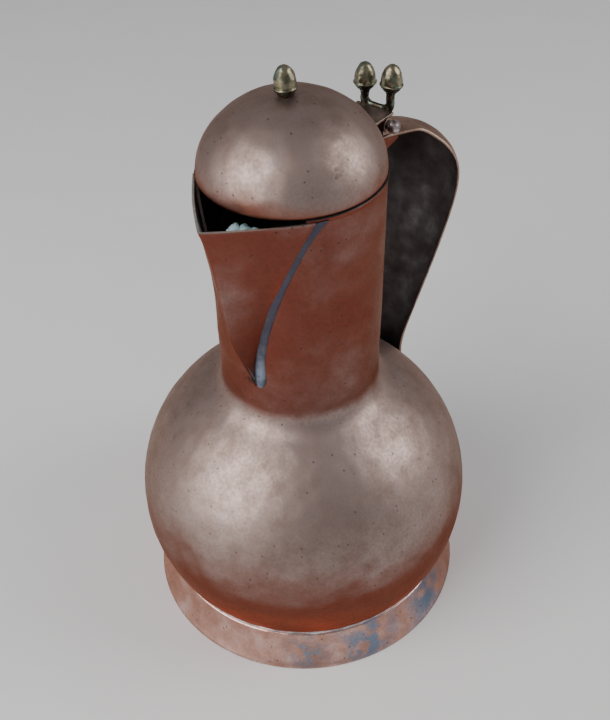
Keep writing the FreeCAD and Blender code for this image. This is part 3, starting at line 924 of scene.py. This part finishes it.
def acorn(name, base, radius, tilt_x, tilt_y, fullness, seed):
    """Cast acorn: a funnel-shaped cup with a raised rim round a filed, blunt nut."""
    cup = bezier((acorn_neck + 0.2, -1.2), (acorn_neck + 0.5, 0.3), (radius - 1.4, 0.9),
                 (radius, acorn_cup), count=24)
    rim = [(radius + 0.05, acorn_cup + 0.3), (radius - 0.1, acorn_cup + 0.65),
           (radius - 0.4, acorn_cup + 0.75)]
    nut = bezier((radius - 0.45, acorn_cup + 0.8), (radius - 0.3 + fullness, acorn_cup + 4.6),
                 (2.9, acorn_height - 0.9), (0.9, acorn_height - 0.3), count=40)
    tip = [(0.5, acorn_height - 0.08), (0.0, acorn_height)]
    profile = joined([(0.0, -1.2)], cup, rim, nut, tip)
    columns = 72
    grid, normals = turned(profile, columns)
    points = grid.reshape(-1, 3)
    height = planished(points, spacing=2.3, bend_radius=4.5, flatness=0.5, tilt=0.02, seed=seed)
    height += 0.14 * waves(points, 2.4, seed)
    angle = np.arctan2(points[:, 1], points[:, 0])
    on_cup = (points[:, 2] < acorn_cup - 0.1) & (points[:, 2] > 0.6)
    level = points[:, 2] / 0.8
    scales = np.cos(angle * 11 + math.pi * np.floor(level)) * np.sin(math.pi * (level % 1.0))
    height += np.where(on_cup, 0.12 * scales, 0.0)
    points = raised(grid, normals, height).reshape(-1, 3)
    turn = Matrix.Rotation(math.radians(tilt_y), 3, "Y") @ Matrix.Rotation(
        math.radians(tilt_x), 3, "X")
    points = points @ np.array(turn).T + np.array(base)
    slots = np.zeros((len(profile) - 1, columns), int)
    slots[:len(cup)] = 1
    return mesh_piece(name, points, grid_faces(len(profile), columns, False, True),
                      slots.ravel())


def fork(left_head, right_head):
    """U of two stems, thick and flattened where it is soldered to the leaf."""
    foot_y, foot_z = 57.9, 234.1
    path = joined([left_head], [(left_head[0], 58.2, 238.4)],
                  bezier((-6.6, 58.0, 237.2), (-6.4, foot_y, foot_z - 0.2), (0.0, foot_y, foot_z),
                         count=3),
                  bezier((0.0, foot_y, foot_z), (6.4, foot_y, foot_z - 0.2), (6.6, 58.0, 237.2),
                         count=3),
                  [(right_head[0], 58.2, 239.6)], [right_head])
    run = run_along(path)
    at = np.linspace(0.0, run[-1], 90)
    centre = spline(run, path, at)
    ahead = np.gradient(centre, axis=0)
    depth = np.array([0.0, 1.0, 0.0])
    angles = np.linspace(0.0, 2 * math.pi, 20, endpoint=False)
    rows = []
    for point, way in zip(centre, ahead):
        across = np.cross(way / np.linalg.norm(way), depth)
        across /= np.linalg.norm(across)
        low_share = np.clip((238.0 - point[2]) / 4.0, 0.0, 1.0)
        wide, deep = 1.9 + 0.45 * low_share, 1.75 - 0.25 * low_share
        rows.append(point + np.outer(np.cos(angles) * wide, across)
                    + np.outer(np.sin(angles) * deep, depth))
    grid = np.array(rows)
    normals = grid - centre[:, None, :]
    normals /= np.linalg.norm(normals, axis=2, keepdims=True)
    grid = raised(grid, normals, 0.14 * waves(grid.reshape(-1, 3), 2.2, 15))
    return mesh_piece("thumb_stems", grid.reshape(-1, 3), tube_faces(len(rows), len(angles)))


# ---------------------------------------------------------------- build

def build_materials():
    tones = dict(dark=(0.24, 0.172, 0.146), mid=(0.30, 0.22, 0.193), light=(0.35, 0.265, 0.24))
    return {
        "vessel": copper("copper_vessel", painted_reflection_red=(0.185, 0.040, 0.023), reflection_from=0.36, reflection_to=-0.10,
                         painted_reflection_warm=(0.52, 0.105, 0.055), rough=0.46, seed=1.0, marks=[
                             # Painted shade: a near-black ragged patch in the shadow gap under
                             # the spout's fold at its tip.
                             ((2.8, -37.4, 149.0), 6.0, (0.03, 0.02, 0.018), 0.85)], **tones),
        "dome": copper("copper_dome", painted_reflection_red=(0.20, 0.05, 0.025), reflection_from=0.34, reflection_to=-0.1,
                       seed=4.0, rough=0.46, marks=[
                           ((31.6, -12.4, 247.2), 4.6, (0.06, 0.04, 0.035), 0.6),
                           ((4.0, 35.0, 248.0), 14.0, (0.20, 0.30, 0.27), 0.5)], **tones),
        "foot": copper("copper_foot", dark=(0.40, 0.22, 0.17), mid=(0.54, 0.31, 0.25),
                       light=(0.70, 0.50, 0.45), painted_reflection_red=(0.30, 0.11, 0.06), reflection_from=-0.1,
                       reflection_to=-0.8, rough=0.28, seed=7.0, marks=[
                           ((74.0, 6.0, 9.0), 30.0, (0.15, 0.22, 0.31), 1.0),
                           ((66.0, -34.0, 9.0), 26.0, (0.16, 0.24, 0.34), 1.0),
                           ((46.0, -58.0, 9.0), 16.0, (0.18, 0.26, 0.34), 0.9)]),
        "handle": copper("copper_handle", dark=(0.20, 0.135, 0.11), mid=(0.33, 0.225, 0.18),
                         light=(0.46, 0.33, 0.27), painted_reflection_red=(0.18, 0.07, 0.04), reflection_from=0.1,
                         reflection_to=-0.9, rough=0.42, seed=9.0),
        # Near-black copper that stands for painted shade: the shadow on the rim under the lid and
        # on the strap's inner face.
        "painted_shade_copper": copper("copper_painted_shade", dark=(0.022, 0.018, 0.017),
                                mid=(0.042, 0.037, 0.037), light=(0.085, 0.08, 0.082),
                                painted_reflection_red=(0.028, 0.014, 0.011), reflection_from=-0.2, reflection_to=-1.2,
                                rough=0.55, seed=12.0),
        "hinge": copper("copper_hinge", dark=(0.19, 0.145, 0.125), mid=(0.31, 0.235, 0.20),
                        light=(0.42, 0.33, 0.29), painted_reflection_red=(0.24, 0.07, 0.04), reflection_from=0.0,
                        reflection_to=-0.9, rough=0.4, seed=15.0),
        "edge": copper("sheet_edge", dark=(0.30, 0.26, 0.24), mid=(0.52, 0.47, 0.44),
                       light=(0.68, 0.63, 0.60), painted_reflection_red=(0.4, 0.3, 0.26), reflection_from=-0.5,
                       reflection_to=-1.0, rough=0.4, seed=18.0),
        "inside": tinned("tinned_inside"),
        "seam": solder("solder_seam", (0.10, 0.12, 0.165), (0.20, 0.235, 0.30),
                       upper_tone=(0.052, 0.045, 0.064)),
        "mouth": solder("solder_mouth", (0.16, 0.29, 0.30), (0.46, 0.66, 0.68), 0.4),
        "bead": solder("solder_bead", (0.42, 0.42, 0.44), (0.78, 0.78, 0.80), 0.85),
        "nut": brass("brass_nut", (0.085, 0.078, 0.052), (0.24, 0.21, 0.135), 0.5),
        "cup": brass("brass_cup", (0.028, 0.022, 0.016), (0.09, 0.075, 0.05), 0.5),
        "ball": brass("pin_ball", (0.16, 0.13, 0.125), (0.46, 0.40, 0.39), 0.1),
        "washer": brass("brass_washer", (0.14, 0.11, 0.06), (0.36, 0.28, 0.15), 0.3),
    }


def build_jug(paint):
    metal = [paint["vessel"], paint["inside"], paint["edge"]]
    # The vessel's third material is near-black painted shade on the rim under the lid.
    place_piece(vessel(), "jug", ["body_shell"],
                [paint["vessel"], paint["inside"], paint["painted_shade_copper"]])
    place_piece(foot(), "jug", ["foot_ring"], [paint["foot"]])
    place_piece(foot_bead(), "jug", ["foot_solder_seam"], [paint["bead"]])
    place_piece(spout(), "jug", ["spout"], metal)
    place_piece(seam_bead(1), "jug", ["spout_solder_seam"], [paint["seam"]])
    place_piece(seam_bead(-1), "jug", ["spout_solder_seam"], [paint["vessel"]])
    place_piece(mouth_solder(), "jug", ["spout_solder_seam"], [paint["mouth"]])
    # The strap's inner face gets near-black painted shade.
    place_piece(strap(), "jug", ["handle_strap"],
                [paint["handle"], paint["painted_shade_copper"], paint["handle"]])
    for name, node, material, slot, voxel, grain in (
            ("handle_gusset", "handle_root_bracket", "vessel", "copper", 0.35, 0.15),
            ("handle_foot_bead", "handle_foot_solder", "bead", "solder", 0.3, 0.2),
            ("fixed_knuckle_left", "hinge_knuckle_left", "hinge", "copper", 0.22, 0.06),
            ("fixed_knuckle_right", "hinge_knuckle_right", "hinge", "copper", 0.22, 0.06)):
        place_piece(worn_copy(name, node, voxel, 4, grain, 3), "jug", [node],
                    [paint[material]])
    place_piece(ball("pin_ball_left", -1), "jug", ["hinge_pin"], [paint["ball"]])
    place_piece(ball("pin_ball_right", 1), "jug", ["hinge_pin_ball"], [paint["ball"]])
    rod = worn_copy("pin_rod", "hinge_pin", 0.2, 1)
    place_piece(rod, "jug", ["hinge_pin"], [paint["ball"]])


def build_lid(paint):
    place_piece(dome(), "lid", ["lid_dome"], [paint["dome"], paint["inside"]])
    leaf = worn_copy("lid_leaf", "lid_hinge_leaf", 0.22, 5, 0.08, 7)
    place_piece(leaf, "lid", ["lid_hinge_leaf"], [paint["hinge"]])
    left = low("thumb_acorn_left")[2]
    right = low("thumb_acorn_right")[2]
    brass_pair = [paint["nut"], paint["cup"]]
    place_piece(acorn("acorn_left", (-6.6, thumb_y, left + 0.1), thumb_acorn_radius,
                      -1.5, -2.0, 0.0, 51), "lid",
                ["thumb_acorn_left"], brass_pair)
    place_piece(acorn("acorn_right", (6.6, thumb_y, right + 0.1), thumb_acorn_radius,
                      -1.5, 1.0, 0.1, 52), "lid",
                ["thumb_acorn_right"], brass_pair)
    place_piece(fork((-6.6, thumb_y, left + 0.8), (6.6, thumb_y, right + 0.8)), "lid",
                ["thumb_fork"], [paint["cup"]])
    place_piece(acorn("acorn_finial", (-0.9, -0.6, lid_top - 0.3), finial_radius,
                      0.0, -3.0, 0.5, 53), "lid",
                ["finial_acorn"], brass_pair)
    washer = frame["nodes"]["finial_washer"]
    washer.data.materials.clear()
    washer.data.materials.append(paint["washer"])


def area_light(name, azimuth, elevation, distance, size, power, target):
    """Soft box that looks at the target from a direction round the jug."""
    a, e = math.radians(azimuth), math.radians(elevation)
    back = Vector((math.sin(a) * math.cos(e), -math.cos(a) * math.cos(e), math.sin(e)))
    data = bpy.data.lights.new(name, "AREA")
    data.shape = "RECTANGLE"
    data.size, data.size_y = size
    data.energy = power
    light = bpy.data.objects.new(name, data)
    light.location = Vector(target) + back * distance
    light.rotation_mode = "QUATERNION"
    light.rotation_quaternion = (-back).to_track_quat("-Z", "Y")
    bpy.context.scene.collection.objects.link(light)


def build_stage():
    """Plain pale floor, soft lights and a light grey surround."""
    mesh = bpy.data.meshes.new("floor")
    half = 3.0
    mesh.from_pydata([(-half, -half, 0), (half, -half, 0), (half, half, 0), (-half, half, 0)],
                     [], [(0, 1, 2, 3)])
    floor = bpy.data.objects.new("floor", mesh)
    bpy.context.scene.collection.objects.link(floor)
    paint = Paint("pale_floor", 0.0)
    colour = paint.mix(paint.noise(60.0, 3.0), (0.66, 0.645, 0.63), (0.70, 0.69, 0.675))
    floor.data.materials.append(paint.finish(colour, 0.75))
    target = (0.0, 0.0, 0.12)
    area_light("front_window", -18, 31, 1.3, (1.1, 1.3), 23.0, target)
    area_light("side_window", 126, 30, 1.4, (0.7, 1.0), 10.5, target)
    world = bpy.data.worlds.new("surround")
    bpy.context.scene.world = world
    world.use_nodes = True
    background = world.node_tree.nodes["Background"]
    background.inputs["Color"].default_value = (0.76, 0.77, 0.82, 1.0)
    background.inputs["Strength"].default_value = 0.52


def build_camera():
    """Camera that looks down on the jug from the right of its spout."""
    data = bpy.data.cameras.new("camera")
    data.lens = 50.0
    data.sensor_width = 36.0
    camera = bpy.data.objects.new("camera", data)
    bpy.context.scene.collection.objects.link(camera)
    yaw, pitch, roll = math.radians(39.57), math.radians(41.07), math.radians(-1.97)
    right = Vector((math.cos(yaw), math.sin(yaw), 0.0))
    ahead = Vector((-math.sin(yaw) * math.cos(pitch), math.cos(yaw) * math.cos(pitch),
                    -math.sin(pitch)))
    up = right.cross(ahead)
    across = math.cos(roll) * right + math.sin(roll) * up
    above = math.cos(roll) * up - math.sin(roll) * right
    turn = Matrix((across, above, -ahead)).transposed().to_4x4()
    camera.matrix_world = Matrix.Translation(Vector((222.5, -265.1, 433.6)) * MM) @ turn
    bpy.context.scene.camera = camera


materials = build_materials()
build_jug(materials)
build_lid(materials)
build_stage()
build_camera()
